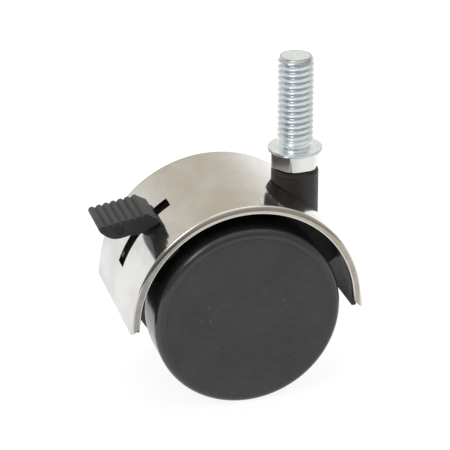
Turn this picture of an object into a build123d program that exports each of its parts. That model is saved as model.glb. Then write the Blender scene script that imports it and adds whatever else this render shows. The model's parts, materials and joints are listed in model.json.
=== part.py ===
from build123d import *

import os
from math import cos, radians, sin, tan

# Hooded twin-wheel furniture caster with a threaded stem and a foot brake.
#
# Row frame, in millimetres: the origin is on the swivel axis, in the flange's top face (the seat).
# +Z goes up the threaded stem, +X is the way the caster rolls, and the axle lies along Y behind
# the stem. Most pieces are drawn about the axle and then moved to it: there the hood's angles are
# measured from straight up, positive towards the stem.

# ---- Driving dimensions -------------------------------------------------------------------------
SWIVEL_OFFSET = 18.5        # swivel axis ahead of the axle
SEAT_TO_AXLE = 38.0         # flange's top face above the axle
WHEEL_RADIUS = 25.0
WHEEL_INNER_Y = 7.9         # each wheel runs from here ...
WHEEL_OUTER_Y = 20.15       # ... to its flat outer face
WHEEL_EDGE_RADIUS = 2.0

HOOD_RADIUS = 30.95
HOOD_SHEET = 0.8
HOOD_HALF_WIDTH = 18.75
HOOD_LIP_RADIUS = 29.0      # the lips at both rims are bent in to here ...
HOOD_LIP_Y = 19.4           # ... and lean outwards to here
HOOD_EDGE_RADIUS = 0.9
HOOD_ARC_ANGLE = 82.0       # from straight up; beyond it the sheet runs straight on
HOOD_BELOW_AXLE = 1.2       # the hood and its liner end about this far below the axle
HOOD_END_TILT = 0.95        # degrees; the front end is the lower one
HOOD_CORNER_CUT = 1.6       # taken off the lips' inner corners at the hood's ends
HOOD_HOLE_RADIUS = 6.6      # hole that the socket boss rises through
SLOT_FROM, SLOT_TO = -31.1, -70.4
SLOT_HALF_WIDTH = 2.2

# 3/8 inch, 16 threads to the inch
THREAD_RADIUS = 9.525 / 2
THREAD_PITCH = 25.4 / 16
THREAD_DEPTH = 0.5413 * THREAD_PITCH
THREAD_START = 2.2          # lower edge of the first thread, above the seat
STEM_LENGTH = 25.0
STEM_TIP_RADIUS = 4.05
NECK_RADIUS = 4.3
NECK_LENGTH = 2.1
FLANGE_RADIUS = 7.15
FLANGE_THICKNESS = 0.85
FLANGE_EDGE = 0.2
HEX_ACROSS_FLATS = 11.5
HEX_HEIGHT = 4.5
HEX_TURN = 2.6              # how the hexagon stands in the stored pose
HEX_CORNER_CUT = 0.5        # taken off the lower corners by the 30 degree chamfer
SPIGOT_RADIUS = 3.5
SPIGOT_END = -26.0
SNAP_GROOVE_TOP = -22.9
SNAP_GROOVE_WIDTH = 0.9
SNAP_GROOVE_RADIUS = 2.9
SNAP_RING_RADIUS = 4.25
SNAP_RING_OPENING = 2.6

SOCKET_RADIUS = 6.25
SOCKET_TOP = -5.95
SOCKET_BOTTOM = -33.0
SOCKET_CHAMFER = 0.7
BUSH_WALL = 1.05
BUSH_BOTTOM = -22.5
BALL_RADIUS = 2.2

AXLE_RADIUS = 3.0
AXLE_HALF_LENGTH = 17.6
RUNNING_CLEARANCE = 0.05
PRESSED_CLEARANCE = 0.02    # round a pin that doesn't turn in its bore
AXLE_GROOVE_Y = 16.3
AXLE_GROOVE_WIDTH = 0.9
AXLE_GROOVE_RADIUS = 2.5
CLIP_THICKNESS = 0.8
CLIP_OUTER_RADIUS = 5.0
CLIP_OPENING = 3.2
SPACER_RADIUS = 5.5
END_PLAY = 0.05             # axial clearance on each side of a piece that turns

WHEEL_BUSH_RADIUS = 4.6
WHEEL_HUB_RADIUS = 7.0
WHEEL_HUB_END_Y = 16.0
WHEEL_DISC_Y = (11.4, 15.5)
WHEEL_RIB_COUNT = 8
WHEEL_RIB_THICKNESS = 1.4
RIM_INNER_RADIUS = 21.4
COVER_RADIUS = 22.3
COVER_THICKNESS = 1.65
COVER_SKIRT = (20.3, 1.6)   # inner radius, depth

WEB_HALF_WIDTH = 6.9        # housing's block between the wheels
CHEEK_OUTER_Y = 3.6         # the block is cored out beyond this
CHEEK_INNER_Y = 2.2         # the brake lever swings between the cheeks
CHEEK_RADIUS = 9.0
AXLE_BOSS_RADIUS = 6.5
WALL = 1.6
LEVER_ROOM = 0.8            # between the lever's hub and the housing round it
LINER_OUTER_RADIUS = 30.1
LINER_INNER_RADIUS = 28.8
LINER_HALF_WIDTH = 17.9
LINER_RIM_ROUND = 0.5

ARM_ANGLE = -45.3           # brake lever's arm, with the brake off
ARM_WIDTH = 6.0
ARM_END = 33.4              # the arm ends inside the pedal, this far from the axle
ARM_THICKNESS = 3.2
LEVER_UP, LEVER_DOWN = 8.3, 19.2    # degrees of travel from rest
LEVER_HUB_RADIUS = 7.6
LEVER_HUB_HALF_WIDTH = 1.9
LEVER_BUSH_RADIUS = 4.5
WINDOW_FROM, WINDOW_TO = 21.6, 28.35    # the arm's window for the shoe bar and its spring
PEDAL_WIDTH = 13.4
PEDAL_RIB_COUNT = 7
PEDAL_RIB_PITCH = 1.93
PEDAL_RIB_RADIUS = 1.0
PEDAL_RIB_HEIGHT = 0.45

SHOE_TRAVEL = 0.7           # towards the treads, as the lever goes down
SHOE_BAR_RADIUS = 27.0      # middle of the bar from the axle, with the brake off
SHOE_BAR = (2.4, 1.6)       # along the circle, along the radius
SHOE_PAD = (4.0, 2.4)
SHOE_PAD_INNER_Y, SHOE_PAD_OUTER_Y = 8.5, 14.5
RAMP_GAP = 0.2
RAMP_END_ANGLE = 4.5        # the ramps run on this far past the lever's travel
RAMP_OUTER_Y = 7.6

SPRING_RADIUS = 0.95
SPRING_WIRE = 0.35
SPRING_TURNS = 5

AXLE = Pos(-SWIVEL_OFFSET, 0, -SEAT_TO_AXLE)
FAR = 60.0                  # a size beyond every piece, for the solids that cut
os.makedirs("parts", exist_ok=True)


# ---- Shapes used by several pieces --------------------------------------------------------------
def ring_y(outer, inner, y_from, y_to):
    """A ring about the axle line."""
    face = Circle(outer) - Circle(inner) if inner else Circle(outer)
    return Pos(0, y_to, 0) * Rot(90, 0, 0) * extrude(face, y_to - y_from)


def ring_z(outer, inner, z_from, z_to):
    """A ring about the swivel axis."""
    face = Circle(outer) - Circle(inner) if inner else Circle(outer)
    return Pos(0, 0, z_from) * extrude(face, z_to - z_from)


def plate(points, y_from, y_to):
    """A plate whose outline is drawn in X and Z about the axle."""
    face = make_face(Polyline(*points, close=True))
    return Pos(0, y_to, 0) * Rot(90, 0, 0) * extrude(face, y_to - y_from)


def polar(radius, angle):
    """X and Z of a point at an angle from straight up, about the axle."""
    return (radius * sin(radians(angle)), radius * cos(radians(angle)))


def sector(radius, angle_from, angle_to, y_from, y_to):
    """A pie slice about the axle, with straight outer edges beyond the radius asked for."""
    edges = 4
    step = (angle_to - angle_from) / edges
    rim = [polar(radius / cos(radians(step / 2)), angle_from + i * step) for i in range(edges + 1)]
    return plate([(0, 0)] + rim, y_from, y_to)


def along_arm(width, r_from, r_to, thickness, angle=ARM_ANGLE):
    """A bar that points away from the axle at the arm's angle."""
    bar = Box(width, thickness, r_to - r_from)
    return Rot(0, angle, 0) * Pos(0, 0, (r_from + r_to) / 2) * bar


def c_ring(outer, inner, thickness, opening):
    """A flat retaining ring, open on its +X side."""
    ring = extrude(Circle(outer) - Circle(inner), thickness)
    return ring - Pos(outer, 0, 0) * Box(2 * outer, opening, 3 * thickness)


def mirrored(solid):
    """The same piece for the right side."""
    return mirror(solid, about=Plane.XZ)


# ---- Stem ---------------------------------------------------------------------------------------
def threaded_stem():
    """Thread ridges, neck, flange, hexagon and swivel spigot, turned from one bar."""
    root = THREAD_RADIUS - THREAD_DEPTH
    crest = THREAD_PITCH / 8
    flank = 5 * THREAD_PITCH / 16
    spigot_chamfer = 0.5
    groove_bottom = SNAP_GROOVE_TOP - SNAP_GROOVE_WIDTH
    points = [
        (0, SPIGOT_END), (SPIGOT_RADIUS - spigot_chamfer, SPIGOT_END),
        (SPIGOT_RADIUS, SPIGOT_END + spigot_chamfer), (SPIGOT_RADIUS, groove_bottom),
        (SNAP_GROOVE_RADIUS, groove_bottom), (SNAP_GROOVE_RADIUS, SNAP_GROOVE_TOP),
        (SPIGOT_RADIUS, SNAP_GROOVE_TOP), (SPIGOT_RADIUS, -FLANGE_THICKNESS),
        (FLANGE_RADIUS - FLANGE_EDGE, -FLANGE_THICKNESS),
        (FLANGE_RADIUS, -FLANGE_THICKNESS + FLANGE_EDGE), (FLANGE_RADIUS, -FLANGE_EDGE),
        (FLANGE_RADIUS - FLANGE_EDGE, 0), (NECK_RADIUS, 0), (NECK_RADIUS, NECK_LENGTH),
        (root, NECK_LENGTH)]
    z = THREAD_START
    while z + THREAD_PITCH < STEM_LENGTH - 0.5:
        points += [(root, z), (THREAD_RADIUS, z + flank), (THREAD_RADIUS, z + flank + crest),
                   (root, z + 2 * flank + crest)]
        z += THREAD_PITCH
    points += [(root, z), (STEM_TIP_RADIUS + 0.15, z + 0.1), (STEM_TIP_RADIUS + 0.15, STEM_LENGTH - 0.2),
               (STEM_TIP_RADIUS, STEM_LENGTH), (0, STEM_LENGTH)]
    turned = revolve(make_face(Plane.XZ * Polyline(*points, close=True)), Axis.Z)

    hexagon = extrude(RegularPolygon(HEX_ACROSS_FLATS / 2, 6, major_radius=False), -HEX_HEIGHT)
    hexagon = Pos(0, 0, -FLANGE_THICKNESS) * Rot(0, 0, HEX_TURN) * hexagon
    bottom_radius = HEX_ACROSS_FLATS / 2 / cos(radians(30)) - HEX_CORNER_CUT
    cone_height = 12.0
    cone = Cone(bottom_radius, bottom_radius + cone_height / tan(radians(30)), cone_height)
    cone = Pos(0, 0, -FLANGE_THICKNESS - HEX_HEIGHT + cone_height / 2) * cone
    return turned + (hexagon & cone)


def stem_snap_ring():
    thickness = SNAP_GROOVE_WIDTH - 0.1
    ring = c_ring(SNAP_RING_RADIUS, SNAP_GROOVE_RADIUS + RUNNING_CLEARANCE, thickness, SNAP_RING_OPENING)
    return Pos(0, 0, SNAP_GROOVE_TOP - SNAP_GROOVE_WIDTH + 0.05) * Rot(0, 0, 180) * ring


# ---- Housing ------------------------------------------------------------------------------------
def swivel_bush():
    inner = SPIGOT_RADIUS + RUNNING_CLEARANCE
    return ring_z(inner + BUSH_WALL, inner, BUSH_BOTTOM, SOCKET_TOP)


def thrust_ball():
    return Pos(0, 0, SPIGOT_END - BALL_RADIUS) * Sphere(BALL_RADIUS)


def web_outline(inset=0.0):
    """Block between the wheels: from the axle up into the liner and forward past the socket."""
    front = SWIVEL_OFFSET + SOCKET_RADIUS
    beyond = LINER_INNER_RADIUS + 4
    outline = make_face(Polyline(
        (-2.0, -CHEEK_RADIUS + 0.3), (front, SEAT_TO_AXLE + SOCKET_BOTTOM), polar(beyond, 72),
        polar(beyond, 40), polar(beyond, 5), polar(beyond, -24), (-1.5, 8.0), close=True))
    outline = (outline & Circle(LINER_INNER_RADIUS + 0.3)) + Circle(CHEEK_RADIUS)
    return offset(outline, -inset) if inset else outline


def side_pocket():
    """What is cored out of the block on its left side, round the axle boss and the socket."""
    pocket = web_outline(WALL)
    pocket -= Circle(AXLE_BOSS_RADIUS)
    socket_back = SWIVEL_OFFSET - SOCKET_RADIUS
    pocket -= Pos(socket_back + FAR / 2, 0) * Rectangle(FAR, 2 * FAR)
    depth = WEB_HALF_WIDTH - CHEEK_OUTER_Y
    return Pos(0, WEB_HALF_WIDTH, 0) * Rot(90, 0, 0) * extrude(pocket, depth)


def brake_ramp():
    """Two eccentric tracks under the liner that press the shoe bar down as the lever moves."""
    up = ARM_ANGLE + LEVER_UP + RAMP_END_ANGLE
    down = ARM_ANGLE - LEVER_DOWN - RAMP_END_ANGLE
    middle = (up + down) / 2
    eccentricity = SHOE_TRAVEL / radians(LEVER_DOWN)
    bar_top = SHOE_BAR_RADIUS + SHOE_BAR[1] / 2
    track_radius = bar_top + RAMP_GAP + eccentricity * radians(middle - ARM_ANGLE)
    x, z = polar(eccentricity, middle + 90)
    blocks = sector(LINER_INNER_RADIUS + 0.3, down, up, -RAMP_OUTER_Y, RAMP_OUTER_Y)
    blocks &= ring_y(LINER_INNER_RADIUS + 0.3, 0, -RAMP_OUTER_Y, RAMP_OUTER_Y)
    blocks -= ring_y(FAR, 0, -CHEEK_INNER_Y - 0.4, CHEEK_INNER_Y + 0.4)
    return blocks - Pos(x, 0, z) * ring_y(track_radius, 0, -RAMP_OUTER_Y, RAMP_OUTER_Y)


def below_hood():
    """Everything lower than the hood's and the liner's ends."""
    return Rot(0, HOOD_END_TILT, 0) * Pos(0, 0, -FAR / 2 - HOOD_BELOW_AXLE) * Box(2 * FAR, FAR, FAR)


def slot_cut(angle_gap, half_width):
    """The brake lever's slot through the hood, or the wider one through the liner behind it."""
    cut = sector(40, SLOT_FROM + angle_gap, SLOT_TO - angle_gap, -half_width, half_width)
    return cut - ring_y(26, 0, -half_width, half_width)


def body_housing():
    web = Pos(0, WEB_HALF_WIDTH, 0) * Rot(90, 0, 0) * extrude(web_outline(), 2 * WEB_HALF_WIDTH)
    web -= side_pocket()
    web -= mirrored(side_pocket())
    web -= ring_y(LEVER_HUB_RADIUS + LEVER_ROOM, 0, -CHEEK_INNER_Y, CHEEK_INNER_Y)
    web -= sector(27, -15, -100, -CHEEK_INNER_Y, CHEEK_INNER_Y)

    liner = ring_y(LINER_OUTER_RADIUS, LINER_INNER_RADIUS, -LINER_HALF_WIDTH, LINER_HALF_WIDTH)
    rims = [e for e in liner.edges().filter_by(GeomType.CIRCLE) if e.radius > LINER_OUTER_RADIUS - 0.1]
    liner = fillet(rims, LINER_RIM_ROUND) - below_hood()
    body = AXLE * (web + liner + brake_ramp())

    socket = ring_z(SOCKET_RADIUS, 0, SOCKET_BOTTOM, SOCKET_TOP)
    body += chamfer(socket.edges().group_by(Axis.Z)[-1], SOCKET_CHAMFER)
    bore = SPIGOT_RADIUS + RUNNING_CLEARANCE + BUSH_WALL
    body -= ring_z(bore, 0, SPIGOT_END - 0.8, SOCKET_TOP)
    body -= ring_z(BALL_RADIUS + RUNNING_CLEARANCE, 0, SPIGOT_END - 2 * BALL_RADIUS, SPIGOT_END)
    body -= AXLE * ring_y(AXLE_RADIUS + PRESSED_CLEARANCE, 0, -AXLE_HALF_LENGTH, AXLE_HALF_LENGTH)
    return body - AXLE * slot_cut(0.6, SLOT_HALF_WIDTH + 0.2)


def lip_corner_cut(way):
    """What is trimmed off the left lip's inner corner at the hood's front (1) or rear (-1) end."""
    lip = HOOD_LIP_RADIUS
    end = -HOOD_BELOW_AXLE - way * lip * tan(radians(HOOD_END_TILT))
    corner = [(lip - 1, end - 1), (lip + HOOD_CORNER_CUT, end - 1), (lip + HOOD_CORNER_CUT, end),
              (lip - 1, end + HOOD_CORNER_CUT + 1)]
    return plate([(way * x, z) for x, z in corner], LINER_HALF_WIDTH + 0.2, HOOD_LIP_Y + 1)


def hood_section():
    """Section of the sheet as Y and radius, with a lip bent in at both rims."""
    inside = HOOD_RADIUS - HOOD_SHEET
    lip = Vector(HOOD_LIP_Y - HOOD_HALF_WIDTH, HOOD_LIP_RADIUS - HOOD_RADIUS).normalized()
    inward = Vector(lip.Y, -lip.X) * HOOD_SHEET
    to_inside = (HOOD_RADIUS + inward.Y - inside) / -lip.Y
    inner_y = HOOD_HALF_WIDTH + inward.X + lip.X * to_inside
    half = [(HOOD_HALF_WIDTH, HOOD_RADIUS), (HOOD_LIP_Y, HOOD_LIP_RADIUS),
            (HOOD_LIP_Y + inward.X, HOOD_LIP_RADIUS + inward.Y), (inner_y, inside)]
    section = make_face(Polyline(*half, *[(-y, r) for y, r in reversed(half)], close=True))
    corners = [v for v in section.vertices() if v.Y > HOOD_RADIUS - 0.01]
    return Plane.YZ * fillet(corners, HOOD_EDGE_RADIUS)


def hood_cover():
    """Bent sheet: an arc over the wheels that runs out straight at both ends."""
    arc = revolve(hood_section(), Axis.Y)
    ahead = Rot(0, HOOD_ARC_ANGLE, 0) * Pos(FAR / 2, 0, 0) * Box(FAR, FAR, 2 * FAR)
    arc -= ahead
    arc -= mirror(ahead, about=Plane.YZ)
    end = Rot(0, HOOD_ARC_ANGLE, 0) * extrude(hood_section(), HOOD_RADIUS / 2)
    hood = arc + end + mirror(end, about=Plane.YZ) - below_hood()
    for corner in (lip_corner_cut(1), lip_corner_cut(-1)):
        hood -= corner
        hood -= mirrored(corner)
    hood = AXLE * (hood - slot_cut(0, SLOT_HALF_WIDTH))
    return hood - ring_z(HOOD_HOLE_RADIUS, 0, -24, 0)


# ---- Axle and what rides on it ------------------------------------------------------------------
def axle():
    pin = ring_y(AXLE_RADIUS, 0, -AXLE_HALF_LENGTH, AXLE_HALF_LENGTH)
    pin = chamfer(pin.edges().filter_by(GeomType.CIRCLE), 0.4)
    groove = ring_y(AXLE_RADIUS + 1, AXLE_GROOVE_RADIUS, AXLE_GROOVE_Y, AXLE_GROOVE_Y + AXLE_GROOVE_WIDTH)
    return AXLE * (pin - groove - mirrored(groove))


def axle_clip():
    inner = AXLE_GROOVE_RADIUS + PRESSED_CLEARANCE
    ring = c_ring(CLIP_OUTER_RADIUS, inner, CLIP_THICKNESS, CLIP_OPENING)
    middle = AXLE_GROOVE_Y + AXLE_GROOVE_WIDTH / 2
    return AXLE * Pos(0, middle + CLIP_THICKNESS / 2, 0) * Rot(90, 0, 0) * ring


def axle_spacer():
    y_from, y_to = WEB_HALF_WIDTH + END_PLAY, WHEEL_INNER_Y - END_PLAY
    return AXLE * ring_y(SPACER_RADIUS, AXLE_RADIUS + PRESSED_CLEARANCE, y_from, y_to)


def lever_bush():
    half = CHEEK_INNER_Y - END_PLAY
    return AXLE * ring_y(LEVER_BUSH_RADIUS, AXLE_RADIUS + PRESSED_CLEARANCE, -half, half)


# ---- Wheels -------------------------------------------------------------------------------------
def wheel_rim():
    """Rim, disc and hub, with ribs on the side that faces the housing."""
    recess = WHEEL_OUTER_Y - COVER_THICKNESS - 0.05
    disc_in, disc_out = WHEEL_DISC_Y
    points = [
        (WHEEL_INNER_Y, WHEEL_RADIUS), (WHEEL_OUTER_Y, WHEEL_RADIUS), (WHEEL_OUTER_Y, COVER_RADIUS + 0.1),
        (recess, COVER_RADIUS + 0.1), (recess, RIM_INNER_RADIUS), (disc_out, RIM_INNER_RADIUS),
        (disc_out, WHEEL_HUB_RADIUS), (WHEEL_HUB_END_Y, WHEEL_HUB_RADIUS),
        (WHEEL_HUB_END_Y, WHEEL_BUSH_RADIUS), (WHEEL_INNER_Y, WHEEL_BUSH_RADIUS),
        (WHEEL_INNER_Y, WHEEL_HUB_RADIUS), (disc_in, WHEEL_HUB_RADIUS), (disc_in, RIM_INNER_RADIUS),
        (WHEEL_INNER_Y, RIM_INNER_RADIUS)]
    profile = make_face(Polyline(*points, close=True))
    for y, radius in ((WHEEL_OUTER_Y, WHEEL_EDGE_RADIUS), (WHEEL_INNER_Y, 0.5)):
        corner = [v for v in profile.vertices() if abs(v.X - y) < 0.01 and v.Y > WHEEL_RADIUS - 0.01]
        profile = fillet(corner, radius)
    wheel = revolve(Plane.YZ * profile, Axis.Y)
    rib_from, rib_to = WHEEL_HUB_RADIUS - 0.3, RIM_INNER_RADIUS + 0.3
    rib_low = WHEEL_INNER_Y + 0.6
    rib = Box(WHEEL_RIB_THICKNESS, disc_in - rib_low, rib_to - rib_from)
    rib = Pos(0, (rib_low + disc_in) / 2, (rib_from + rib_to) / 2) * rib
    for i in range(WHEEL_RIB_COUNT):
        wheel += Rot(0, 360 / WHEEL_RIB_COUNT * i, 0) * rib
    return AXLE * wheel


def wheel_bush():
    return AXLE * ring_y(WHEEL_BUSH_RADIUS, AXLE_RADIUS + RUNNING_CLEARANCE, WHEEL_INNER_Y, WHEEL_HUB_END_Y)


def wheel_cover():
    """Flat disc with a skirt that snaps into the rim."""
    inside = WHEEL_OUTER_Y - COVER_THICKNESS
    skirt_radius, skirt_depth = COVER_SKIRT
    disc = ring_y(COVER_RADIUS, 0, inside, WHEEL_OUTER_Y)
    outer_edge = disc.edges().filter_by(GeomType.CIRCLE).group_by(Axis.Y)[-1]
    skirt = ring_y(RIM_INNER_RADIUS - 0.05, skirt_radius, inside - skirt_depth, inside)
    return AXLE * (chamfer(outer_edge, 0.15) + skirt)


# ---- Brake --------------------------------------------------------------------------------------
def pedal_outline():
    """Side view of the pedal about the axle, ribs included."""
    toe, heel = (-35.5, 24.3), (-22.9, 26.45)
    under, nose = (-28.2, 21.3), (-34.9, 22.5)
    outline = make_face([
        Polyline(toe, heel, (-20.4, 25.0), (-20.05, 24.0), (-24.7, 21.35), under),
        ThreePointArc(under, (-31.5, 20.75), nose), ThreePointArc(nose, (-36.0, 23.5), toe)])
    slope = (Vector(*heel) - Vector(*toe)).normalized()
    across = Vector(-slope.Y, slope.X)
    first = Vector(*toe) + slope * 0.45 + across * (PEDAL_RIB_HEIGHT - PEDAL_RIB_RADIUS)
    for i in range(PEDAL_RIB_COUNT):
        centre = first + slope * (i * PEDAL_RIB_PITCH)
        outline += Pos(centre.X, centre.Y) * Circle(PEDAL_RIB_RADIUS)
    return outline


def brake_lever():
    """Pedal, arm through the hood's slot, and the hub that turns on the lever bush."""
    pedal = Pos(0, PEDAL_WIDTH / 2, 0) * Rot(90, 0, 0) * extrude(pedal_outline(), PEDAL_WIDTH)
    hub = ring_y(LEVER_HUB_RADIUS, 0, -LEVER_HUB_HALF_WIDTH, LEVER_HUB_HALF_WIDTH)
    arm = along_arm(ARM_WIDTH, LEVER_BUSH_RADIUS - 0.5, ARM_END, ARM_THICKNESS)
    window = along_arm(SHOE_BAR[0] + 0.1, WINDOW_FROM, WINDOW_TO, 2 * ARM_THICKNESS)
    bore = ring_y(LEVER_BUSH_RADIUS + RUNNING_CLEARANCE, 0, -CHEEK_INNER_Y, CHEEK_INNER_Y)
    return AXLE * (pedal + hub + arm - window - bore)


def shoe_bar():
    low, high = SHOE_BAR_RADIUS - SHOE_BAR[1] / 2, SHOE_BAR_RADIUS + SHOE_BAR[1] / 2
    bar = Pos(0, 0, (low + high) / 2) * Box(SHOE_BAR[0], 2 * SHOE_PAD_OUTER_Y - 1, high - low)
    bar = chamfer(bar.edges().filter_by(Axis.Y), 0.3)
    return AXLE * Rot(0, ARM_ANGLE, 0) * bar


def shoe_pad():
    """Rubber block pushed over the bar's end."""
    y_middle = (SHOE_PAD_INNER_Y + SHOE_PAD_OUTER_Y) / 2
    pad = Box(SHOE_PAD[0], SHOE_PAD_OUTER_Y - SHOE_PAD_INNER_Y, SHOE_PAD[1])
    pad = fillet(pad.edges().filter_by(Axis.Y), 0.4)
    pad = AXLE * Rot(0, ARM_ANGLE, 0) * Pos(0, y_middle, SHOE_BAR_RADIUS) * pad
    return pad - shoe_bar()


def shoe_spring():
    low = WINDOW_FROM + 0.05 + SPRING_WIRE / 2
    high = SHOE_BAR_RADIUS - SHOE_BAR[1] / 2 - SPRING_WIRE / 2 - 0.03
    path = Helix((high - low) / SPRING_TURNS, high - low, SPRING_RADIUS)
    section = Plane(path @ 0, z_dir=path % 0) * Circle(SPRING_WIRE / 2)
    coil = sweep(section, path)
    return AXLE * Rot(0, ARM_ANGLE, 0) * Pos(0, 0, low) * coil


# ---- Pieces, one file each ----------------------------------------------------------------------
pieces = {
    "threaded_stem": threaded_stem(),
    "stem_snap_ring": stem_snap_ring(),
    "swivel_bush": swivel_bush(),
    "thrust_ball": thrust_ball(),
    "body_housing": body_housing(),
    "hood_cover": hood_cover(),
    "axle": axle(),
    "lever_bush": lever_bush(),
    "brake_lever": brake_lever(),
    "shoe_spring": shoe_spring(),
    "shoe_bar": shoe_bar(),
}
for name, make in {"wheel_rim": wheel_rim, "wheel_bush": wheel_bush, "wheel_cover": wheel_cover,
                   "axle_spacer": axle_spacer, "axle_clip": axle_clip, "shoe_pad": shoe_pad}.items():
    piece = make()
    pieces["left_" + name] = piece
    pieces["right_" + name] = mirrored(piece)

for name, solid in pieces.items():
    export_step(solid, f"parts/{name}.step")
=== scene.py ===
"""Looks of the hooded twin-wheel chair caster: detailed pieces, materials, light and camera.

Everything is in the row frame, in metres. Lengths below are written in millimetres and scaled by MM.
Pieces about the axle are drawn in Y and R there: angles go from straight up, positive towards +X.
"""

import json
import math

import bmesh
import bpy
import numpy as np
from mathutils import Matrix, Vector


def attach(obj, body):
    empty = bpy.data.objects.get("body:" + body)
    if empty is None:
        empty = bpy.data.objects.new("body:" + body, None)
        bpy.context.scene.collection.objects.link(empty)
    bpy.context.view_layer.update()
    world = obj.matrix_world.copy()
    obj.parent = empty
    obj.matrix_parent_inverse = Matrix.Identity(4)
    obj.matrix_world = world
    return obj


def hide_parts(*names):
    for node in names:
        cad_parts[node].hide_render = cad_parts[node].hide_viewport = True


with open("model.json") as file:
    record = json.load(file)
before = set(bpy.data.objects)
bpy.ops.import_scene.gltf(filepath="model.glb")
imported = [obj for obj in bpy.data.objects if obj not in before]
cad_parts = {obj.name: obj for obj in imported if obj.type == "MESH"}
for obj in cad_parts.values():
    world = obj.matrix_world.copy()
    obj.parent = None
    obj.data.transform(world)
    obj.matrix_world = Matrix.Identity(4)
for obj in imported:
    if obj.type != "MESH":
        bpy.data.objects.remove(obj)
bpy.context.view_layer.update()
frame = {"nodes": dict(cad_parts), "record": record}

MM = 0.001
AXLE_X, AXLE_Z = -18.5, -38.0

# wheel: rim, disc and hub, and the cover whose skirt snaps into the rim
WHEEL_RADIUS, WHEEL_INNER_Y, WHEEL_OUTER_Y, WHEEL_EDGE = 25.0, 7.9, 20.15, 2.0
FLOOR_Z = AXLE_Z - WHEEL_RADIUS
RIM_INNER, DISC_FROM_Y, DISC_TO_Y = 21.4, 11.4, 15.5
WHEEL_HUB_RADIUS, WHEEL_HUB_END_Y, WHEEL_BUSH_RADIUS = 7.0, 16.0, 4.6
COVER_RADIUS, COVER_THICKNESS = 22.3, 1.65
SKIRT_OUTER, SKIRT_INNER, SKIRT_LENGTH = 21.35, 20.3, 1.6

# hood: its rim is a tight bend, then a lip that goes on curling until it faces sideways
HOOD_RADIUS, SHEET, HOOD_HALF_WIDTH = 30.95, 0.8, 18.75
HOOD_ARC_ANGLE, HOOD_BELOW_AXLE, HOOD_END_TILT, HOOD_CORNER_CUT = 82.0, 1.2, 0.95, 1.6
HOOD_BEND, BEND_INSET, BEND_TURN = 0.6, 0.43, 54.0
LIP_CURL, LIP_TURN = 2.6, 89.0
HOOD_HOLE_RADIUS = 6.6
SLOT_FROM, SLOT_TO, SLOT_HALF_WIDTH = -31.1, -70.4, 2.2

# stem
PITCH = 25.4 / 16
THREAD_DEPTH = 0.5413 * PITCH
CREST_RADIUS = 9.525 / 2
ROOT_RADIUS = CREST_RADIUS - THREAD_DEPTH
NECK_RADIUS, NECK_LENGTH = 4.3, 0.9
STEM_LENGTH, TIP_RADIUS = 25.0, 4.05
FLANGE_RADIUS, FLANGE_THICKNESS = 7.15, 0.85
HEX_ACROSS_FLATS, HEX_HEIGHT, HEX_TURN, HEX_CORNER_CUT = 11.5, 4.5, 2.6, 0.68
SPIGOT_RADIUS, SPIGOT_END = 3.5, -26.0
GROOVE_TOP, GROOVE_BOTTOM, GROOVE_RADIUS = -22.9, -23.8, 2.9

# brake lever: the pedal, and the arm that goes down through the slot to the hub
PEDAL_HALF_WIDTH, PEDAL_EDGE = 6.7, 0.4
RIB_RADIUS, RIB_HEIGHT, RIB_PITCH, RIB_COUNT = 1.0, 0.45, 1.93, 7
ARM_ANGLE, ARM_HALF_WIDTH, ARM_HALF_THICKNESS, ARM_FROM, ARM_TO = -45.3, 3.0, 1.6, 4.0, 33.0
WINDOW_HALF_WIDTH, WINDOW_FROM, WINDOW_TO = 1.25, 21.6, 28.35
LEVER_HUB_RADIUS, LEVER_HUB_HALF_WIDTH, LEVER_BORE_RADIUS = 7.6, 1.9, 4.55


# ---- Mesh helpers -------------------------------------------------------------------------------
def make_object(name, points, faces, sharp_angle=35):
    """A smooth-shaded mesh object from points in millimetres, with edges over sharp_angle left sharp."""
    mesh = bpy.data.meshes.new(name)
    mesh.from_pydata([Vector(p) * MM for p in points], [], faces)
    mesh.validate()
    obj = bpy.data.objects.new(name, mesh)
    bpy.context.scene.collection.objects.link(obj)
    clean(obj, sharp_angle)
    return obj


def clean(obj, sharp_angle=35):
    """Merges double points, makes the normals point outwards and shades smooth."""
    bm = bmesh.new()
    bm.from_mesh(obj.data)
    bmesh.ops.remove_doubles(bm, verts=bm.verts, dist=1e-6)
    bmesh.ops.dissolve_degenerate(bm, edges=bm.edges, dist=1e-7)
    bmesh.ops.recalc_face_normals(bm, faces=bm.faces)
    bm.to_mesh(obj.data)
    bm.free()
    obj.data.shade_smooth()
    obj.data.set_sharp_from_angle(angle=math.radians(sharp_angle))


def arc(centre, radius, angle_from, angle_to, steps):
    """Points on an arc in two coordinates, angles in degrees from the first axis."""
    angles = np.radians(np.linspace(angle_from, angle_to, steps + 1))
    return [(centre[0] + radius * math.cos(a), centre[1] + radius * math.sin(a)) for a in angles]


def about_axle(y, radius, angle):
    """The point at a distance and an angle from straight up, about the axle."""
    a = math.radians(angle)
    return (AXLE_X + radius * math.sin(a), y, AXLE_Z + radius * math.cos(a))


def about_swivel(radius, angle, z):
    """The point at a distance and an angle from +X, about the swivel axis."""
    a = math.radians(angle)
    return (radius * math.cos(a), radius * math.sin(a), z)


def row_faces(rows, columns, joined=False):
    """Quads between rows of points that close on themselves; joined ties the last row to the first."""
    return [(k * columns + i, k * columns + (i + 1) % columns,
             (k + 1) % rows * columns + (i + 1) % columns, (k + 1) % rows * columns + i)
            for k in range(rows if joined else rows - 1) for i in range(columns)]


def end_faces(rows, columns):
    """The two faces that close the first row and the last."""
    return [tuple(range(columns)), tuple(range((rows - 1) * columns, rows * columns))]


def loft(name, first_end, second_end):
    """A solid between two outlines that have the same number of points."""
    count = len(first_end)
    return make_object(name, first_end + second_end, end_faces(2, count) + row_faces(2, count))


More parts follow.
